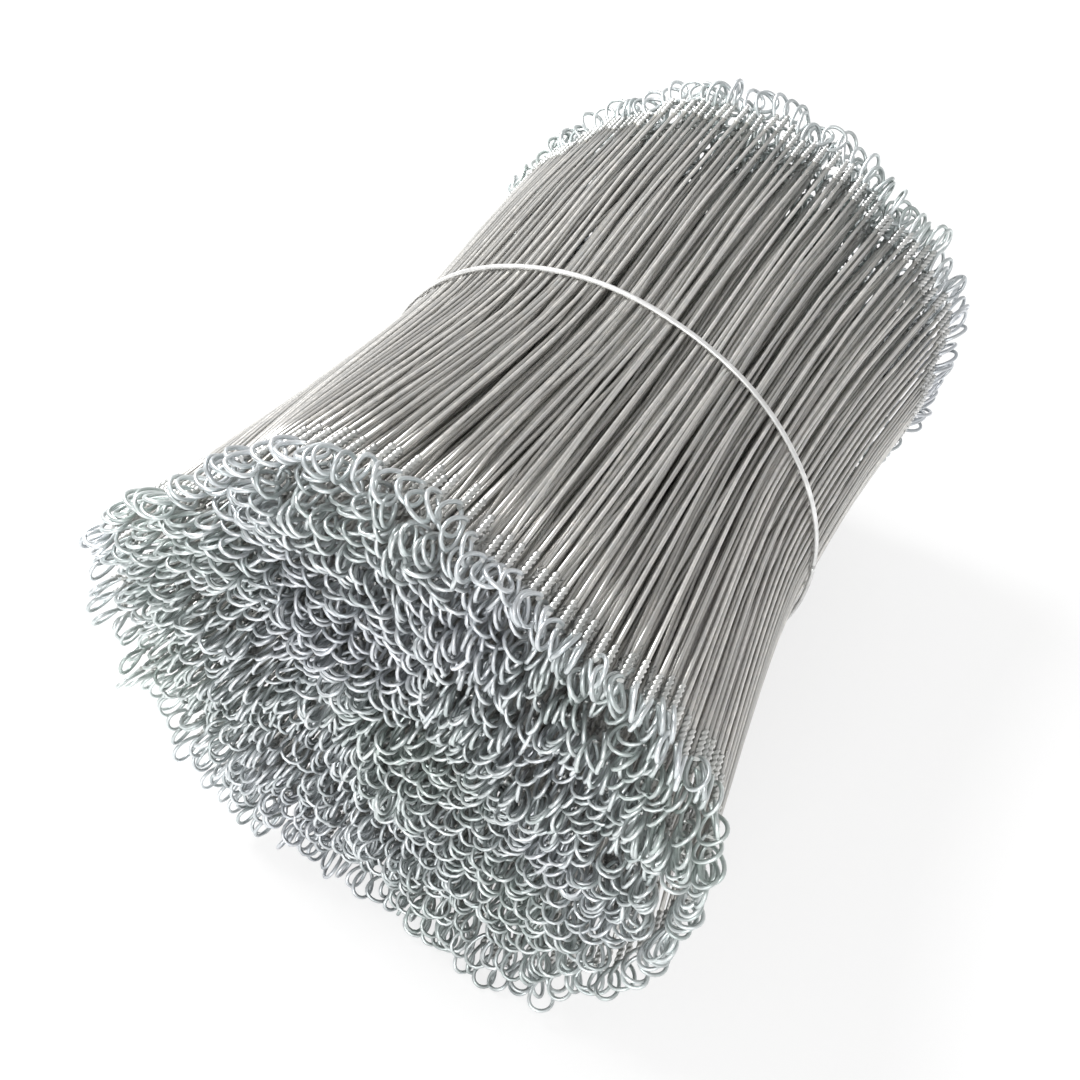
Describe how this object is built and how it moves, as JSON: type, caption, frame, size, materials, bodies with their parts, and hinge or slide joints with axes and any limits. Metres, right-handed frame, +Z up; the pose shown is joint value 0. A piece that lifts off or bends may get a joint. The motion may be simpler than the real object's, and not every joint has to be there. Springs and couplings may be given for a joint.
{
  "type": "bundle of rebar loop ties",
  "caption": "Bundle of straight double-loop wire ties for rebar, pulled in at the middle by one binding wire and flared at both looped ends.",
  "frame": {"origin": "centre of the bounding box's underside, on the floor that the bundle lies on", "axes": "+Z up; +Y along the bundle, from its wider front end to its narrower rear end; +X across it"},
  "size_m": [0.1624, 0.192, 0.1622],
  "materials": {
    "tie_wire": "galvanized, dull bright",
    "binding_wire": "bright galvanized"
  },
  "bodies": {
    "root": {"tie_core": "tie_wire", "outer_ties_01": "tie_wire", "outer_ties_02": "tie_wire", "outer_ties_03": "tie_wire", "outer_ties_04": "tie_wire", "outer_ties_05": "tie_wire", "outer_ties_06": "tie_wire", "outer_ties_07": "tie_wire", "outer_ties_08": "tie_wire", "outer_ties_09": "tie_wire", "outer_ties_10": "tie_wire", "outer_ties_11": "tie_wire", "outer_ties_12": "tie_wire", "binding_wire": "binding_wire"}
  },
  "joints": []
}
